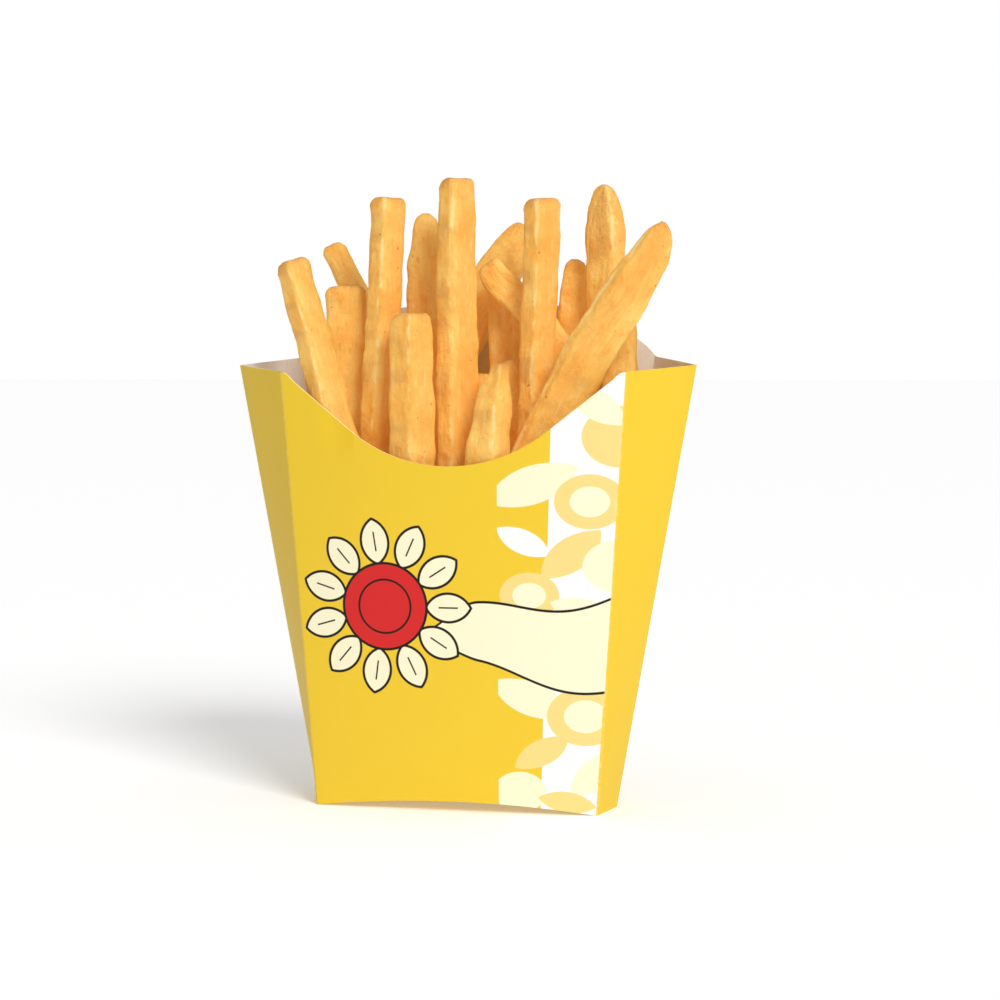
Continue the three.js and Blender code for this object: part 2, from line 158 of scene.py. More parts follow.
class Value:
    """An output of a node, with arithmetic that adds Math nodes."""

    def __init__(self, finish, socket):
        self.finish = finish
        self.socket = socket

    def math(self, operation, *others, clamp=False):
        """The result of a Math node on this value and others."""
        sockets = dict(enumerate((self, *others)))
        return self.finish.node("ShaderNodeMath", {"operation": operation, "use_clamp": clamp}, sockets)

    def __add__(self, other):
        return self.math("ADD", other)

    __radd__ = __add__

    def __sub__(self, other):
        return self.math("SUBTRACT", other)

    def __rsub__(self, other):
        return self.finish.number(other).math("SUBTRACT", self)

    def __mul__(self, other):
        return self.math("MULTIPLY", other)

    def __truediv__(self, other):
        return self.math("DIVIDE", other)

    def __abs__(self):
        return self.math("ABSOLUTE")

    def __neg__(self):
        return self.math("MULTIPLY", -1.0)

    def high(self, other):
        return self.math("MAXIMUM", other)

    def sine(self):
        return self.math("SINE")

    def cosine(self):
        return self.math("COSINE")

    def root(self):
        return self.math("SQRT")

    def ramp(self, start, end):
        """0 at start, 1 at end, smooth between them."""
        return self.finish.node(
            "ShaderNodeMapRange",
            {"interpolation_type": "SMOOTHSTEP", "clamp": True},
            {"Value": self, "From Min": start, "From Max": end},
        )


class Finish:
    """One material, with the methods that add its nodes."""

    def __init__(self, name):
        self.material = bpy.data.materials.new(name)
        self.material.use_nodes = True
        self.tree = self.material.node_tree
        self.tree.nodes.clear()

    def node(self, kind, settings=None, sockets=None, output=0):
        """Adds a node: its settings first, then the values or links of its sockets."""
        made = self.tree.nodes.new(kind)
        for name, value in (settings or {}).items():
            setattr(made, name, value)
        for name, value in (sockets or {}).items():
            if isinstance(value, Value):
                self.tree.links.new(value.socket, made.inputs[name])
            else:
                made.inputs[name].default_value = value
        return Value(self, made.outputs[output]) if made.outputs else None

    def number(self, value):
        """A plain number as a value of the tree."""
        return self.node("ShaderNodeMath", {"operation": "ADD"}, {0: value, 1: 0.0})

    def mix(self, factor, first, second):
        """Second colour over the first, by factor."""
        return self.node(
            "ShaderNodeMix",
            {"data_type": "RGBA", "blend_type": "MIX", "clamp_factor": True},
            {MIX_FACTOR: factor, MIX_FIRST: first, MIX_SECOND: second},
            output=MIX_RESULT,
        )

    def split(self, vector):
        """The three components of a vector."""
        return [self.node("ShaderNodeSeparateXYZ", {}, {0: vector}, output=k) for k in range(3)]

    def object_place(self):
        """Object coordinates, in millimetres."""
        place = self.node("ShaderNodeTexCoord", output="Object")
        return self.node("ShaderNodeVectorMath", {"operation": "SCALE"}, {0: place, "Scale": 1 / MM})

    def own_place(self, name):
        """A vector attribute of the piece."""
        return self.node("ShaderNodeAttribute", {"attribute_name": name}, output="Vector")

    def stretched(self, place, scale):
        """A place whose axes are each scaled on their own."""
        return self.node("ShaderNodeVectorMath", {"operation": "MULTIPLY"}, {0: place, 1: scale})

    def noise(self, place, scale, detail=2.0, roughness=0.5):
        """Noise between 0 and 1 at a scale of features for each millimetre."""
        return self.node(
            "ShaderNodeTexNoise",
            {},
            {"Vector": place, "Scale": scale, "Detail": detail, "Roughness": roughness},
        )

    def bump(self, height, distance, strength, under=None):
        """A relief of the surface, which may lie over another."""
        sockets = {"Height": height, "Distance": distance, "Strength": strength}
        if under:
            sockets["Normal"] = under
        return self.node("ShaderNodeBump", {}, sockets)

    def surface(self, sockets):
        """The shader itself, joined to the output."""
        shader = self.node("ShaderNodeBsdfPrincipled", {}, sockets)
        self.node("ShaderNodeOutputMaterial", {}, {"Surface": shader})
        return self.material


def colour(red, green, blue):
    """A display colour from 0 to 255 as the linear colour that a socket takes."""
    linear = []
    for channel in (red, green, blue):
        share = channel / 255
        linear.append(share / 12.92 if share <= 0.04045 else ((share + 0.055) / 1.055) ** 2.4)
    return (*linear, 1.0)


# The print of the front panel


class Print:
    """Flat fields of colour laid over each other, from distances in millimetres."""

    # Width over which the edge of a field fades, in millimetres
    SOFT = 0.12

    def __init__(self, finish, ground, x, z):
        self.finish = finish
        self.shade = ground
        self.x = x
        self.z = z

    def fill(self, distance, shade):
        """Paints what lies inside a distance of zero."""
        inside = (0.5 - distance / self.SOFT).math("ADD", 0.0, clamp=True)
        self.shade = self.finish.mix(inside, self.shade, shade)

    def outline(self, distance, half_width, shade):
        """Paints a line along a distance of zero."""
        self.fill(abs(distance) - half_width, shade)

    def place(self, x, z, turn=0.0, squash=1.0):
        """Own coordinates along and across a shape whose middle is at x, z."""
        dx = (self.x - x) / squash
        dz = self.z - z
        if not turn:
            return dx, dz
        cosine = math.cos(math.radians(turn))
        sine = math.sin(math.radians(turn))
        return dx * cosine + dz * sine, dz * cosine - dx * sine

    def leaf(self, along, across, half_length, half_width):
        """A pointed leaf, bounded by two arcs."""
        radius = (half_length**2 + half_width**2) / (2 * half_width)
        aside = abs(across) + (radius - half_width)
        return (along * along + aside * aside).root() - radius

    def disc(self, along, across, radius):
        """A round spot."""
        return (along * along + across * across).root() - radius


# The side band: where its motifs and its white ground begin, and how they lean with the fold
BAND_LEFT = 11.5
BAND_LEFT_LEAN = 0.008
WHITE_LEFT = 21.7
WHITE_LEFT_LEAN = 0.036
BAND_STRETCH = 1.28

# Motifs of the band: kind, place across it and up the panel, size, turn in degrees and colour
BAND_MOTIFS = (
    ("leaf", 8.5, 80.5, 9.6, 28, "cream"),
    ("disc", 29.5, 92.0, 7.4, 0, "tan"),
    ("leaf", 23.5, 99.5, 7.0, -42, "cream"),
    ("ring", 22.0, 76.5, 6.6, 0, "tan"),
    ("leaf", 6.2, 66.8, 6.0, -34, "white"),
    ("leaf", 17.6, 63.8, 8.0, 47, "tan"),
    ("disc", 28.2, 61.0, 6.2, 0, "cream"),
    ("ring", 7.6, 53.8, 5.6, 0, "tan"),
    ("leaf", 20.5, 50.0, 6.6, -20, "cream"),
    ("leaf", 8.0, 28.6, 8.6, -30, "cream"),
    ("ring", 21.0, 24.4, 7.2, 0, "tan"),
    ("leaf", 10.5, 15.4, 6.4, 38, "tan"),
    ("leaf", 24.2, 10.6, 7.6, 48, "cream"),
    ("disc", 5.2, 5.6, 5.0, 0, "cream"),
    ("leaf", 16.6, 3.2, 5.6, -12, "tan"),
)
LEAF_WIDTH = 0.46
RING_MIDDLE = 0.56

# The flower of the front panel and the ribbon that runs from it to the right fold
FLOWER_X = -16.2
FLOWER_Z = 50.5
FLOWER_HEART = 10.6
HEART_RING = 0.62
PETALS = 11
PETAL_REACH = 16.0
PETAL_HALF_LENGTH = 5.6
PETAL_HALF_WIDTH = 3.5
VEIN_HALF_LENGTH = 2.2
INK_HALF_WIDTH = 0.32
VEIN_INK = 0.6
HEART_RING_INK = 0.8
RIBBON_START = -6.3
RIBBON_HEIGHT = 42.6
RIBBON_WAVE = 2.4
RIBBON_WAVES = 0.13
RIBBON_PHASE = 0.9
RIBBON_HALF_WIDTH = 6.2
RIBBON_WIDENING = 0.13
RIBBON_TAPER = (-7.0, 7.0)
RIBBON_NARROWEST = 0.28


def lay_band(art, settings):
    """The white band along the right fold, with its leaves and rings."""
    inks = {
        "cream": tuple(settings.cream),
        "tan": tuple(settings.tan),
        "white": tuple(settings.white),
    }
    left_edge = art.z * BAND_LEFT_LEAN + BAND_LEFT
    white_edge = art.z * WHITE_LEFT_LEAN + WHITE_LEFT
    art.fill(white_edge - art.x, inks["white"])
    band = Print(art.finish, art.shade, art.x - left_edge, art.z)
    for kind, x, z, size, turn, name in BAND_MOTIFS:
        along, across = band.place(x, z, turn, BAND_STRETCH)
        if kind == "leaf":
            shape = band.leaf(along, across, size, size * LEAF_WIDTH)
        else:
            shape = band.disc(along, across, size)
        band.fill(shape.high(-band.x), inks[name])
        if kind == "ring":
            middle = band.disc(along, across, size * RING_MIDDLE)
            band.fill(middle.high(-band.x), inks["cream"])
    art.shade = band.shade


def lay_flower(art, settings):
    """A red flower heart with cream petals and a waving cream ribbon, all drawn with a black line."""
    black = tuple(settings.black)
    cream = tuple(settings.cream)
    red = tuple(settings.red)
    middle = (art.x * RIBBON_WAVES + RIBBON_PHASE).sine() * RIBBON_WAVE + RIBBON_HEIGHT
    taper = art.x.ramp(*RIBBON_TAPER) * (1 - RIBBON_NARROWEST) + RIBBON_NARROWEST
    half = (art.x * RIBBON_WIDENING + RIBBON_HALF_WIDTH) * taper
    ribbon = (abs(art.z - middle) - half).high(RIBBON_START - art.x)
    art.fill(ribbon, cream)
    art.outline(ribbon, INK_HALF_WIDTH, black)
    dx, dz = art.place(FLOWER_X, FLOWER_Z)
    radius = (dx * dx + dz * dz).root()
    step = 2 * math.pi / PETALS
    angle = dz.math("ARCTAN2", dx)
    turned = angle - (angle / step).math("ROUND") * step
    along = radius * turned.cosine() - PETAL_REACH
    across = radius * turned.sine()
    petal = art.leaf(along, across, PETAL_HALF_LENGTH, PETAL_HALF_WIDTH)
    art.fill(petal, cream)
    art.outline(petal, INK_HALF_WIDTH, black)
    vein = abs(across).high(abs(along) - VEIN_HALF_LENGTH)
    art.fill(vein - INK_HALF_WIDTH * VEIN_INK, black)
    heart = radius - FLOWER_HEART
    art.fill(heart, red)
    art.outline(heart, INK_HALF_WIDTH, black)
    art.outline(radius - FLOWER_HEART * HEART_RING, INK_HALF_WIDTH * HEART_RING_INK, black)


# Tints that time and light lay on the board
RUBBED = colour(255, 240, 190)
GREYED = colour(120, 90, 30)
FIBRE = colour(190, 178, 160)
MOTTLE = colour(232, 212, 178)
CUT_PALE = colour(255, 240, 176)

# Noise of the board: features for each millimetre, detail and roughness
GRAIN = (2.2, 4.0, 0.6)
CLOUD = (0.045, 2.0)
WEAR = (0.9, 3.0)
WARP = (0.03, 1.0)
SHORT_FIBRES = (1.6, 5.0, 0.65)
MOTTLES = (0.09, 3.0)

# How the short fibres of bare board are drawn out along its height
FIBRE_STRETCH = (1.0, 1.0, 0.35)

# How strongly each trace is laid on the ink: thick patches, rubbed folds and greyed grain
THICK_SHARE = 0.16
RUBBED_SHARE = 0.28
GREYED_SHARE = 0.05

# Reach of the rubbing on both sides of a fold, and the depth behind which there is none
RUB_REACH = (0.05, 0.55)
RUB_DEPTH = (-1.0, 0.0)

# Height of the board's relief, in millimetres
GRAIN_RELIEF = 0.03
WARP_RELIEF = 1.2
FIBRE_RELIEF = 0.06


def front_fold(height):
    """Distance of the front panel's folds from the middle, in millimetres, at a height."""
    return height * ((FRONT_HALF_TOP - FRONT_HALF_FOOT) / CORNER_HEIGHT) + FRONT_HALF_FOOT


def board_finish(name, settings, printed):
    """Coated paperboard: satin ink, a trace of fibre, and folds that have rubbed a little paler."""
    finish = Finish(name)
    place = finish.object_place()
    x, y, z = finish.split(place)
    grain = finish.noise(place, *GRAIN)
    cloud = finish.noise(place, *CLOUD)
    ground = finish.mix(cloud * THICK_SHARE, tuple(settings.yellow), tuple(settings.yellow_deep))
    art = Print(finish, ground, x, z)
    if printed:
        lay_band(art, settings)
        lay_flower(art, settings)
    off_fold = abs(abs(x) - front_fold(z))
    rubbed = (1.0 - off_fold.ramp(*RUB_REACH)) * finish.noise(place, *WEAR).ramp(0.35, 0.7)
    in_front = 1.0 - y.ramp(*RUB_DEPTH)
    shade = finish.mix(rubbed * in_front * RUBBED_SHARE, art.shade, RUBBED)
    shade = finish.mix(grain * GREYED_SHARE, shade, GREYED)
    fine = finish.bump(grain, GRAIN_RELIEF * MM, 0.6)
    warp = finish.noise(place, *WARP)
    return finish.surface({
        "Base Color": shade,
        "Roughness": settings.board_roughness + grain * 0.12,
        "Normal": finish.bump(warp, WARP_RELIEF * MM, 0.5, fine),
        "Specular IOR Level": 0.22,
        "Coat Weight": 0.04,
        "Coat Roughness": 0.35,
    })


def bare_board_finish(name, base):
    """Uncoated board: short fibres and a slight mottle."""
    finish = Finish(name)
    place = finish.object_place()
    fibre = finish.noise(finish.stretched(place, FIBRE_STRETCH), *SHORT_FIBRES)
    mottle = finish.noise(place, *MOTTLES)
    shade = finish.mix(fibre.ramp(0.35, 0.75) * 0.14, base, FIBRE)
    shade = finish.mix(mottle.ramp(0.55, 0.8) * 0.25, shade, MOTTLE)
    return finish.surface({
        "Base Color": shade,
        "Roughness": 0.72 + fibre * 0.2,
        "Normal": finish.bump(fibre, FIBRE_RELIEF * MM, 0.8),
        "Specular IOR Level": 0.3,
    })


# Fried potato


# Noise of the crust: stretch along the fry's axes, features for each millimetre, detail, roughness
PATCHES = ((1.0, 1.0, 0.5), 0.17, 3.0, 0.55)
BANDS = ((0.3, 0.3, 1.0), 0.17, 2.0, 0.5)
FIBRES = ((1.0, 1.0, 0.14), 1.3, 4.0, 0.6)
BLISTERS = ((1.0, 1.0, 0.7), 0.55, 3.0, 0.6)
# Breaks in the painted highlight along the ridge
HIGHLIGHT_BREAKS = ((1.0, 1.0, 0.4), 0.42, 3.0, 0.6)
GRIT = ((1.0, 1.0, 1.0), 2.4, 4.0, 0.7)
SPECKS = ((1.0, 1.0, 1.0), 0.95, 2.0, 0.5)

# How far the noise of one fry lies from the next, along each axis
APART = (37.0, 53.0, 91.0)

# Distances from the ridge, in millimetres: where the painted shade of its left side fades, where its right
# side begins and fades, half the width of the painted highlight line on it, and how far that line wanders
PAINTED_SHADE_FADE = (-1.6, 0.2)
RIGHT_BEGIN = (0.3, 3.0)
RIGHT_FADE = (5.0, 8.0)
HIGHLIGHT_EDGE = (0.10, 0.75)
HIGHLIGHT_WANDER = 1.6

# Noise from which there is a speck
SPECK_EDGE = (0.715, 0.77)

# How strongly each colour is laid on the crust
# Painted shade on the side left of the ridge
PAINTED_SHADE_LEFT_OF_RIDGE = 0.70
TAN_BANDS = 0.20
AMBER_RIGHT_OF_RIDGE = 0.45
AMBER_BLISTERS = 0.60
AMBER_FIBRES = 0.34
PALE_FIBRES = 0.30
# Painted highlight along the ridge
PAINTED_RIDGE_HIGHLIGHT = 0.72
BROWN_ENDS = 0.65
BROWN_SPECKS = 0.55

# Relief of the crust: shares of its noises, and the height of one whole in millimetres
FIBRE_SHARE = 0.55
BLISTER_SHARE = 1.2
GRIT_SHARE = 0.4
SPECK_SHARE = 0.5
CRUST_RELIEF = 0.45


def potato_finish(name, settings):
    """Fried potato: golden crust with crisp ends, long fibres, blisters and a few specks, a pale painted
    highlight along the ridge, painted shade left of it, and a faint painted glow.
    """
    finish = Finish(name)
    own = finish.own_place("strip")
    ridge, tip, shift = finish.split(finish.own_place("crust"))
    apart = finish.node("ShaderNodeCombineXYZ", {}, {k: shift * step for k, step in enumerate(APART)})
    moved = finish.node("ShaderNodeVectorMath", {"operation": "ADD"}, {0: own, 1: apart})

    def layer(stretch, *measures):
        return finish.noise(finish.stretched(moved, stretch), *measures)

    patches = layer(*PATCHES)
    bands = layer(*BANDS)
    fibres = layer(*FIBRES)
    blisters = layer(*BLISTERS)
    grit = layer(*GRIT)
    specks = layer(*SPECKS).ramp(*SPECK_EDGE)
    # Painted shade: mask of the side left of the ridge, where tan is laid in bands
    left = 1.0 - ridge.ramp(*PAINTED_SHADE_FADE)
    right = ridge.ramp(*RIGHT_BEGIN) * (1.0 - ridge.ramp(*RIGHT_FADE))
    # Painted highlight: a pale line that wanders along the ridge
    ridge_highlight = 1.0 - abs(ridge + (patches - 0.5) * HIGHLIGHT_WANDER).ramp(*HIGHLIGHT_EDGE)
    laid = (
        # painted shade left of the ridge
        (left * bands.ramp(0.44, 0.62) * PAINTED_SHADE_LEFT_OF_RIDGE, settings.tan),
        (right * AMBER_RIGHT_OF_RIDGE, settings.amber),
        (blisters.ramp(0.46, 0.80) * AMBER_BLISTERS, settings.amber),
        (bands.ramp(0.55, 0.75) * TAN_BANDS, settings.tan),
        (fibres.ramp(0.52, 0.78) * AMBER_FIBRES, settings.amber),
        ((1.0 - fibres.ramp(0.26, 0.48)) * PALE_FIBRES, settings.pale),
        # painted highlight along the ridge
        (ridge_highlight * layer(*HIGHLIGHT_BREAKS).ramp(0.44, 0.60) * PAINTED_RIDGE_HIGHLIGHT, settings.pale),
        (tip * (0.2 + patches * 0.9) * BROWN_ENDS, settings.brown),
        (specks * BROWN_SPECKS, settings.brown),
    )
    shade = finish.mix(patches.ramp(0.3, 0.7), tuple(settings.light), tuple(settings.golden))
    for strength, tint in laid:
        shade = finish.mix(strength, shade, tuple(tint))
    height = fibres * FIBRE_SHARE + blisters * BLISTER_SHARE + grit * GRIT_SHARE - specks * SPECK_SHARE
    return finish.surface({
        "Base Color": shade,
        "Roughness": 0.44 + patches * 0.14 + grit * 0.12,
        "Normal": finish.bump(height, CRUST_RELIEF * MM, 0.9),
        "Specular IOR Level": 0.4,
        "Subsurface Weight": 0.25,
        "Subsurface Radius": (1.0, 0.5, 0.2),
        "Subsurface Scale": 2.5 * MM,
        # Painted glow: the crust shines faintly in its own colour, which also lifts its shaded sides
        "Emission Color": shade,
        "Emission Strength": 0.09,
    })


Cut = namedtuple("Cut", "ridge widths blunt growth bend")

# How each fry that shows is cut, in millimetres. The ridge runs across its front at a share of its
# half width. The widths are pairs of a distance down from the tip and the width there. The tip
# may be blunt, grows by some length, and the upper part bends across.
# Along the ridge lies the painted highlight and left of it the painted shade; a ridge of None has neither.
FRY_CUTS = {
    "left_outer": Cut(0.0, ((0, 8.2), (12, 8.8), (25, 9.4), (45, 10.0)), True, 0, -0.3),
    "left_tall": Cut(-0.05, ((0, 8.7), (20, 9.4), (40, 9.9), (60, 10.2)), True, 0, 1.4),
    "centre_tall": Cut(-0.15, ((0, 9.0), (15, 9.5), (35, 10.4), (50, 11.0), (62, 9.9)), True, 0, 0.7),
    "short_front": Cut(0.1, ((0, 9.6), (10, 11.0), (25, 11.9), (36, 12.0)), True, 0, 0.9),
    "right_tall": Cut(-0.1, ((0, 8.8), (20, 9.4), (40, 9.7), (60, 9.8)), True, 0, 0.8),
    "right_diagonal": Cut(
        ridge=-0.5,
        widths=((0, 3.0), (1, 5.4), (3, 8.4), (8, 12.0), (18, 14.8), (35, 15.6), (60, 13.6)),
        blunt=False,
        growth=3.8,
        bend=3.2,
    ),
    "right_pointed": Cut(
        ridge=0.45,
        widths=((0, 2.8), (1, 5.0), (3, 7.2), (7, 9.8), (12, 11.0), (22, 11.2), (35, 10.2)),
        blunt=False,
        growth=2.0,
        bend=-1.0,
    ),
    "right_round": Cut(
        ridge=None,
        widths=((0, 3.0), (1, 5.2), (3, 7.2), (7, 8.8), (14, 9.8), (30, 10.4)),
        blunt=False,
        growth=0.6,
        bend=-0.3,
    ),
    "right_stub": Cut(0.3, ((0, 3.0), (2, 5.2), (8, 9.0), (20, 11.6)), False, 0.4, -0.4),
    "right_low": Cut(None, ((0, 7.4), (10, 9.0), (30, 9.6)), True, 0, 0),
    "right_leaning": Cut(None, ((0, 5.8), (8, 7.8), (20, 8.6)), True, 0, 0),
    "left_upright": Cut(None, ((0, 9.4), (10, 10.4), (30, 10.4)), True, 0, -0.9),
    "centre_pointed": Cut(
        ridge=None,
        widths=((0, 3.2), (1.5, 6.0), (5, 8.6), (12, 10.2), (25, 11.2), (45, 11.8)),
        blunt=False,
        growth=0.4,
        bend=-1.1,
    ),
    "centre_cross": Cut(None, ((0, 6.6), (6, 8.2), (20, 8.6)), True, -0.4, -2.7),
    "centre_low": Cut(None, ((0, 7.4), (10, 8.6)), True, 0, 0),
    "back_left": Cut(None, ((0, 6.2), (10, 6.8), (30, 7.2)), True, 0.6, -3.8),
    "back_diagonal": Cut(
        ridge=None,
        widths=((0, 4.4), (2, 7.6), (6, 10.8), (14, 12.8), (30, 12.2)),
        blunt=False,
        growth=3.2,
        bend=1.8,
    ),
    "back_upright": Cut(None, ((0, 7.8), (10, 8.8), (30, 9.2)), True, 0, 0),
}
PLAIN_CUT = Cut(ridge=None, widths=(), blunt=True, growth=0, bend=0)

# Heights between which a fry takes on its cut, and the slices in which its own width is measured
SHOWN_FROM = 72.0
SHOWN_FULLY = 88.0
SLICES = 90
SLICES_ASIDE = 2
NARROWEST = 0.5
DEEPER = 0.10

# Smoothing of the remeshed body
SOFTEN_FACTOR = 0.5
SOFTEN_TIMES = 2

# Round of the left corner of a blunt tip
ROUND_START = 0.30
ROUND_DROP = 2.0
ROUND_REACH = 4.0
ROUND_LIMIT = 0.96

# Bend of the upper part, and its sway to both sides
BEND_START = 0.45
SWAY = 0.35
SWAY_TURNS = 7.0
SWAY_STEP = 2.1

# Relief of the crust: bulges round the fry, with their features for each millimetre across and along
RING_RISE = 0.48
RING_ACROSS = 0.09
RING_ALONG = 0.17
CRUST_SINK = 0.04

# Finer waves of the crust: rise in millimetres, and features for each millimetre across and along
CRUST_WAVES = (
    (0.20, 0.11, 0.12),
    (0.18, 0.34, 0.24),
    (0.10, 0.9, 0.6),
)

# Steps in noise space from one fry to the next
RING_STEP = 5.1
WAVE_STEP = (13.7, 7.3, 3.1)

# Distance from the ridge that stands for none, depth at which a face stops being the front, and
# length of the crisp ends
FAR_FROM_RIDGE = 9.0
FRONT_DEPTH = 1.2
CRISP_END = 2.6
GOLDEN_STEP = 0.618


def eased(share):
    """A share from 0 to 1 that starts and ends gently."""
    return share * share * (3 - 2 * share)


def strip_axes(points):
    """Middle and own axes of a strip: across, through and along, the last pointing up."""
    middle = (points.max(0) + points.min(0)) / 2
    spread = points - points.mean(0)
    along = np.linalg.eigh(spread.T @ spread)[1][:, -1]
    if along[2] < 0:
        along = -along
    across = np.array((1.0, 0.0, 0.0)) - along[0] * along
    across /= np.linalg.norm(across)
    return middle, np.array((across, np.cross(along, across), along))


def points_of(piece):
    """The points of a piece, one to a row."""
    flat = np.zeros(len(piece.data.vertices) * 3)
    piece.data.vertices.foreach_get("co", flat)
    return flat.reshape(-1, 3)


def make_strip(node, name, voxel, material, seed):
    """One fry: the CAD solid's rounded body, cut and made lumpy along its length."""
    piece = copied(node, name)
    middle, axes = strip_axes(points_of(piece))
    choose(piece)
    modifier = piece.modifiers.new("body", "REMESH")
    modifier.mode = "VOXEL"
    modifier.voxel_size = voxel
    bpy.ops.object.modifier_apply(modifier="body")
    modifier = piece.modifiers.new("soften", "SMOOTH")
    modifier.factor = SOFTEN_FACTOR
    modifier.iterations = SOFTEN_TIMES
    bpy.ops.object.modifier_apply(modifier="soften")
    cut = FRY_CUTS.get(node.removeprefix("fry_"), PLAIN_CUT)
    own = (points_of(piece) - middle) @ axes.T / MM
    own, half_width = cut_strip(own, middle, axes, cut)
    own, x_middle = bend_strip(own, cut, seed)
    piece.data.vertices.foreach_set("co", (own @ axes * MM + middle).ravel())
    piece.data.update()
    grow_crust(piece, own, seed)
    own[:, 0] -= x_middle
    give_coordinates(piece, own, half_width, cut.ridge, seed)
    piece.data.materials.append(material)
    bpy.ops.object.shade_smooth()
    return piece


def cut_strip(own, middle, axes, cut):
    """Brings the part of a fry that shows to its widths. Returns its points and half width there."""
    x, y, z = own.T
    top = z.max()
    edges = np.linspace(z.min(), top, SLICES)
    place = np.clip(np.searchsorted(edges, z), 0, SLICES - 1)
    reach = np.zeros(SLICES)
    np.maximum.at(reach, place, np.abs(x))
    window = np.ones(2 * SLICES_ASIDE + 1)
    padded = np.pad(reach, SLICES_ASIDE, mode="edge")
    reach = np.convolve(padded, window / len(window), mode="valid")
    half_width = np.interp(z, edges, np.maximum(reach, NARROWEST))
    if not cut.widths:
        return own, half_width
    depths, measured = np.array(cut.widths, float).T
    wanted = np.interp(top - z, depths, measured) / 2
    height = middle[2] / MM + z * axes[2][2]
    share = eased(np.clip((height - SHOWN_FROM) / (SHOWN_FULLY - SHOWN_FROM), 0, 1))
    factor = 1 + (wanted / half_width - 1) * share
    half_width = half_width * factor
    x = x * factor
    y = y * (1 + DEEPER * share)
    if cut.blunt:
        corner = np.clip((-x / half_width - ROUND_START) / (1 - ROUND_START), 0, 1)
        drop = ROUND_DROP * (1 - np.sqrt(1 - corner**2 * ROUND_LIMIT))
        z = z - drop * np.clip(1 - (top - z) / ROUND_REACH, 0, 1)
    return np.column_stack((x, y, z)), half_width


def bend_strip(own, cut, seed):
    """Lets the tip grow and the fry bend a little to one side. Returns its points and its middle line."""
    x, y, z = own.T
    bottom, top = z.min(), z.max()
    share = np.clip((z - bottom) / (top - bottom), 0, 1)
    upper = eased(np.clip((share - BEND_START) / (1 - BEND_START), 0, 1))
    sway = SWAY * np.sin(share * SWAY_TURNS + seed * SWAY_STEP) * upper
    x_middle = cut.bend * upper + sway
    return np.column_stack((x + x_middle, y, z + cut.growth * upper)), x_middle


def grow_crust(piece, own, seed):
    """Bulges and blisters of the crust, along the surface normals."""
    mesh = piece.data
    normals = np.zeros(len(own) * 3)
    mesh.vertices.foreach_get("normal", normals)
    normals = normals.reshape(-1, 3)
    offset = Vector(WAVE_STEP) * seed
    rise = np.empty(len(own))
    for k, (x, y, z) in enumerate(own):
        ring = noise.noise(Vector((seed * RING_STEP, x * RING_ACROSS, z * RING_ALONG)))
        rise[k] = RING_RISE * ring - CRUST_SINK
        for height, across, along in CRUST_WAVES:
            rise[k] += height * noise.noise(Vector((x * across, y * across, z * along)) + offset)
    mesh.vertices.foreach_set("co", (points_of(piece) + normals * rise[:, None] * MM).ravel())
    mesh.update()


def give_coordinates(piece, own, half_width, ridge, seed):
    """Stores own coordinates, and with them the distance from the ridge, nearness to an end and number."""
    x, y, z = own.T
    away = np.full(len(own), FAR_FROM_RIDGE)
    if ridge is not None:
        front = np.clip(-y / FRONT_DEPTH, 0, 1)
        away = (x - ridge * half_width) * front + FAR_FROM_RIDGE * (1 - front)
    bottom, top = z.min(), z.max()
    tip = np.clip(1 - np.minimum(top - z, z - bottom) / CRISP_END, 0, 1) ** 2
    crust = np.column_stack((away, tip, np.full(len(own), (seed * GOLDEN_STEP) % 1.0)))
    for name, values in (("strip", own), ("crust", crust)):
        attribute = piece.data.attributes.new(name, "FLOAT_VECTOR", "POINT")
        attribute.data.foreach_set("vector", values.astype(np.float32).ravel())


# Settings that a user would change


def colour_setting(name, description, rgb):
    """A setting that holds a display colour."""
    return bpy.props.FloatVectorProperty(
        name=name, description=description, subtype="COLOR", size=4, min=0.0, max=1.0, default=colour(*rgb)
    )


class CartonSettings(bpy.types.PropertyGroup):
    """Colours and finish of the carton."""

    yellow: colour_setting("Yellow", "Ink of the outside", (244, 205, 51))
    yellow_deep: colour_setting("Deep yellow", "Ink where it lies thicker", (241, 196, 40))
    cream: colour_setting("Cream", "Palest ink", (255, 248, 212))
    tan: colour_setting("Tan", "Ink of the rings", (248, 221, 137))
    white: colour_setting("White", "Bare coated board of the band", (253, 251, 250))
    red: colour_setting("Red", "Ink of the flower's heart", (217, 36, 38))
    black: colour_setting("Black", "Ink of the drawn lines", (20, 16, 12))
    board: colour_setting("Bare board", "Uncoated inside of the carton", (238, 232, 222))
    board_roughness: bpy.props.FloatProperty(
        name="Roughness", description="Roughness of the coated side", min=0.0, max=1.0, default=0.42
    )
    fold_radius: bpy.props.FloatProperty(
        name="Fold radius", description="Round of the folds", min=0.0, max=0.002, default=0.0006,
        unit="LENGTH", precision=5,
    )


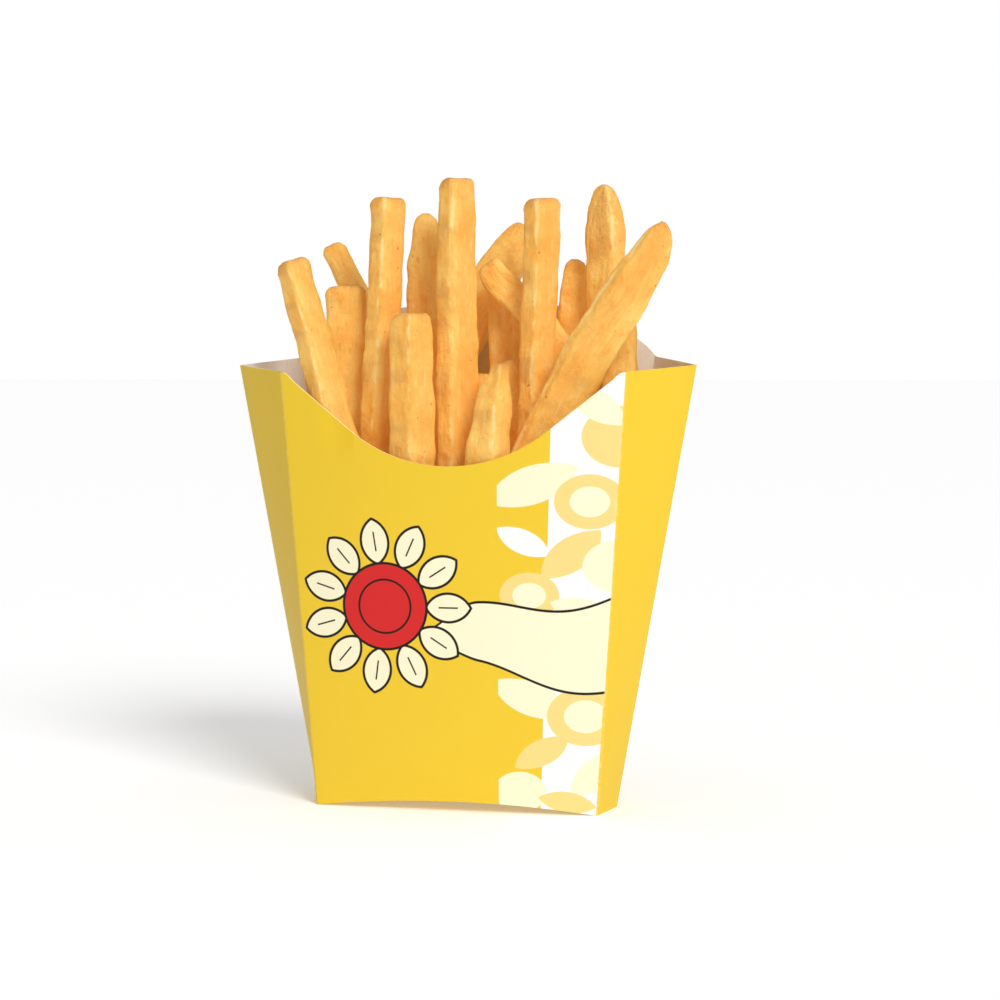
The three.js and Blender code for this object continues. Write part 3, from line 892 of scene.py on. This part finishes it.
class FrySettings(bpy.types.PropertyGroup):
    """Colours and fineness of the fries."""

    light: colour_setting("Light", "Palest crust", (253, 206, 108))
    golden: colour_setting("Golden", "Usual crust", (247, 182, 78))
    # Tan: painted shade, in bands, on the side left of the ridge; also the crust's bands all over
    tan: colour_setting("Tan", "Crust on the side away from the light", (226, 168, 84))
    amber: colour_setting("Amber", "Crust of the blisters", (241, 158, 58))
    # Pale: pale fibres of the crust, and the painted highlight along the ridges
    pale: colour_setting("Pale", "Rubbed ridges", (255, 229, 156))
    brown: colour_setting("Brown", "Crisp ends and specks", (172, 98, 36))
    voxel: bpy.props.FloatProperty(
        name="Detail", description="Size of the faces of the fries that show", min=0.0002, max=0.003,
        default=0.0005, unit="LENGTH", precision=5,
    )
    bed_voxel: bpy.props.FloatProperty(
        name="Bed detail", description="Size of the faces of the fries in the bed", min=0.0002, max=0.003,
        default=0.0010, unit="LENGTH", precision=5,
    )


class StageSettings(bpy.types.PropertyGroup):
    """Light and floor."""

    key_strength: bpy.props.FloatProperty(
        name="Key", description="Strength of the key light", min=0.0, default=2.12
    )
    top_strength: bpy.props.FloatProperty(
        name="Top", description="Strength of the light overhead", min=0.0, default=1.32
    )
    sky: bpy.props.FloatProperty(
        name="Sky", description="Strength of the white surroundings", min=0.0, default=0.06
    )
    floor_size: bpy.props.FloatProperty(
        name="Floor", description="Width of the floor", min=0.1, default=60.0, unit="LENGTH"
    )


class FRYBOX_OT_carton(bpy.types.Operator):
    """Rounds the folds of the carton and prints it"""

    bl_idname = "frybox.carton"
    bl_label = "Carton"

    def execute(self, context):
        settings = context.scene.frybox_carton
        piece = copied("carton", "scoop_carton")
        self.round_folds(piece, settings.fold_radius)
        self.paint(piece, settings)
        choose(piece)
        bpy.ops.object.shade_smooth_by_angle(angle=SMOOTH_WITHIN)
        finish_piece(piece, "carton")
        return {"FINISHED"}

    def round_folds(self, piece, radius):
        """Gives each upright fold a small round, in place of its sharp mitre."""
        choose(piece)
        bpy.ops.object.mode_set(mode="EDIT")
        bpy.ops.mesh.select_mode(type="EDGE")
        bpy.ops.mesh.select_all(action="DESELECT")
        mesh = bmesh.from_edit_mesh(piece.data)
        for edge in mesh.edges:
            run = (edge.verts[1].co - edge.verts[0].co).normalized()
            turned = edge.calc_face_angle(0.0)
            if abs(run.z) > FOLD_UPRIGHT and FOLD_TURN_LEAST < turned < FOLD_TURN_MOST:
                edge.select_set(True)
        bmesh.update_edit_mesh(piece.data)
        bpy.ops.mesh.bevel(offset=radius, segments=FOLD_SEGMENTS, affect="EDGES", clamp_overlap=True)
        bpy.ops.mesh.select_all(action="DESELECT")
        bpy.ops.object.mode_set(mode="OBJECT")

    def paint(self, piece, settings):
        """Printed front, plain yellow outside, bare inside and cut edges."""
        mesh = piece.data
        mesh.materials.append(board_finish("printed_front", settings, True))
        mesh.materials.append(board_finish("yellow_board", settings, False))
        mesh.materials.append(bare_board_finish("bare_board", tuple(settings.board)))
        mesh.materials.append(bare_board_finish("cut_edge", CUT_PALE))
        for face in mesh.polygons:
            x, y, z = face.center / MM
            outward = face.normal.x * x + face.normal.y * y
            underside = face.normal.z <= -LYING
            if z > RIM_LOWEST and face.normal.z > RIM_TILT:
                face.material_index = CUT_EDGE
            elif face.normal.z > LYING or outward < 0 and not underside:
                face.material_index = BARE_INSIDE
            elif face.normal.y < -FACING_FRONT and abs(x) < front_fold(z) and not underside:
                face.material_index = PRINTED_FRONT
            else:
                face.material_index = YELLOW_OUTSIDE


class FRYBOX_OT_fries(bpy.types.Operator):
    """Fries the strips: those that show and those of the bed"""

    bl_idname = "frybox.fries"
    bl_label = "Fries"

    def execute(self, context):
        settings = context.scene.frybox_fries
        crust = potato_finish("fried_crust", settings)
        nodes = sorted(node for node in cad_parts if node.startswith("fry_"))
        for seed, node in enumerate(nodes):
            in_bed = node.startswith("fry_bed_")
            voxel = settings.bed_voxel if in_bed else settings.voxel
            name = node.replace("fry_", "crisp_", 1)
            piece = make_strip(node, name, voxel, crust, seed)
            finish_piece(piece, node)
        return {"FINISHED"}


class FRYBOX_OT_stage(bpy.types.Operator):
    """Sets the floor, the lights and the camera"""

    bl_idname = "frybox.stage"
    bl_label = "Stage"

    def execute(self, context):
        settings = context.scene.frybox_stage
        self.lay_floor(settings)
        aside = (math.sin(KEY_TURN), -math.cos(KEY_TURN), KEY_RISE)
        self.light("key_light", aside, KEY_SOFTNESS, settings.key_strength)
        self.light("top_light", (0.0, 0.0, 1.0), TOP_SOFTNESS, settings.top_strength)
        self.make_sky(context, settings)
        self.stand_camera(context)
        context.scene.view_settings.view_transform = "Standard"
        return {"FINISHED"}

    def make_sky(self, context, settings):
        """White surroundings that light softly and show white behind the part."""
        world = bpy.data.worlds.new("studio")
        world.use_nodes = True
        nodes = world.node_tree.nodes
        links = world.node_tree.links
        soft = nodes["Background"]
        soft.inputs["Color"].default_value = WHITE
        soft.inputs["Strength"].default_value = settings.sky
        seen = nodes.new("ShaderNodeBackground")
        seen.inputs["Color"].default_value = WHITE
        path = nodes.new("ShaderNodeLightPath")
        either = nodes.new("ShaderNodeMixShader")
        links.new(path.outputs["Is Camera Ray"], either.inputs[0])
        links.new(soft.outputs[0], either.inputs[1])
        links.new(seen.outputs[0], either.inputs[2])
        links.new(either.outputs[0], nodes["World Output"].inputs["Surface"])
        context.scene.world = world

    def lay_floor(self, settings):
        """A plain pale floor, which isn't part of the object."""
        deselect()
        bpy.ops.mesh.primitive_plane_add(size=settings.floor_size, location=(0, 0, 0))
        floor = bpy.context.object
        floor.name = "floor"
        finish = Finish("pale_floor")
        cloud = finish.noise(finish.object_place(), *FLOOR_CLOUD)
        shade = finish.mix(cloud * FLOOR_CLOUD_SHARE, FLOOR_PALE, FLOOR_DEEP)
        floor.data.materials.append(finish.surface({
            "Base Color": shade,
            "Roughness": 0.9,
            "Emission Color": WHITE,
            "Emission Strength": FLOOR_GLOW,
        }))

    def light(self, name, direction, softness, strength):
        """A soft light from far away, which falls evenly on the whole floor. Softness is in degrees."""
        data = bpy.data.lights.new(name, "SUN")
        data.angle = math.radians(softness)
        data.energy = strength
        lamp = bpy.data.objects.new(name, data)
        lamp.location = direction
        lamp.rotation_euler = Vector(direction).to_track_quat("Z", "Y").to_euler()
        bpy.context.scene.collection.objects.link(lamp)

    def stand_camera(self, context):
        """The camera, at the photograph's viewing angle."""
        data = bpy.data.cameras.new("camera")
        data.lens = CAMERA_LENS
        data.sensor_width = CAMERA_SENSOR
        data.clip_start = CAMERA_SEES_FROM
        data.clip_end = CAMERA_SEES_TO
        camera = bpy.data.objects.new("camera", data)
        camera.location = CAMERA_PLACE
        camera.rotation_euler = (CAMERA_TARGET - CAMERA_PLACE).to_track_quat("-Z", "Y").to_euler()
        context.scene.collection.objects.link(camera)
        context.scene.camera = camera


class FRYBOX_PT_panel(bpy.types.Panel):
    """Lists the pieces of the fry box"""

    bl_idname = "FRYBOX_PT_panel"
    bl_label = "Fry box"
    bl_space_type = "VIEW_3D"
    bl_region_type = "UI"
    bl_category = "Fry box"

    def draw(self, context):
        for operator in OPERATORS:
            self.layout.operator(operator.bl_idname)


OPERATORS = (FRYBOX_OT_carton, FRYBOX_OT_fries, FRYBOX_OT_stage)
SETTINGS = (CartonSettings, FrySettings, StageSettings)
CLASSES = (*SETTINGS, *OPERATORS, FRYBOX_PT_panel)


def register():
    for made in CLASSES:
        bpy.utils.register_class(made)
    bpy.types.Scene.frybox_carton = bpy.props.PointerProperty(type=CartonSettings)
    bpy.types.Scene.frybox_fries = bpy.props.PointerProperty(type=FrySettings)
    bpy.types.Scene.frybox_stage = bpy.props.PointerProperty(type=StageSettings)


def unregister():
    del bpy.types.Scene.frybox_carton
    del bpy.types.Scene.frybox_fries
    del bpy.types.Scene.frybox_stage
    for made in reversed(CLASSES):
        bpy.utils.unregister_class(made)


def main():
    """Builds the fry box and its stage."""
    register()
    bpy.ops.frybox.carton()
    bpy.ops.frybox.fries()
    bpy.ops.frybox.stage()


if __name__ == "__main__":
    main()
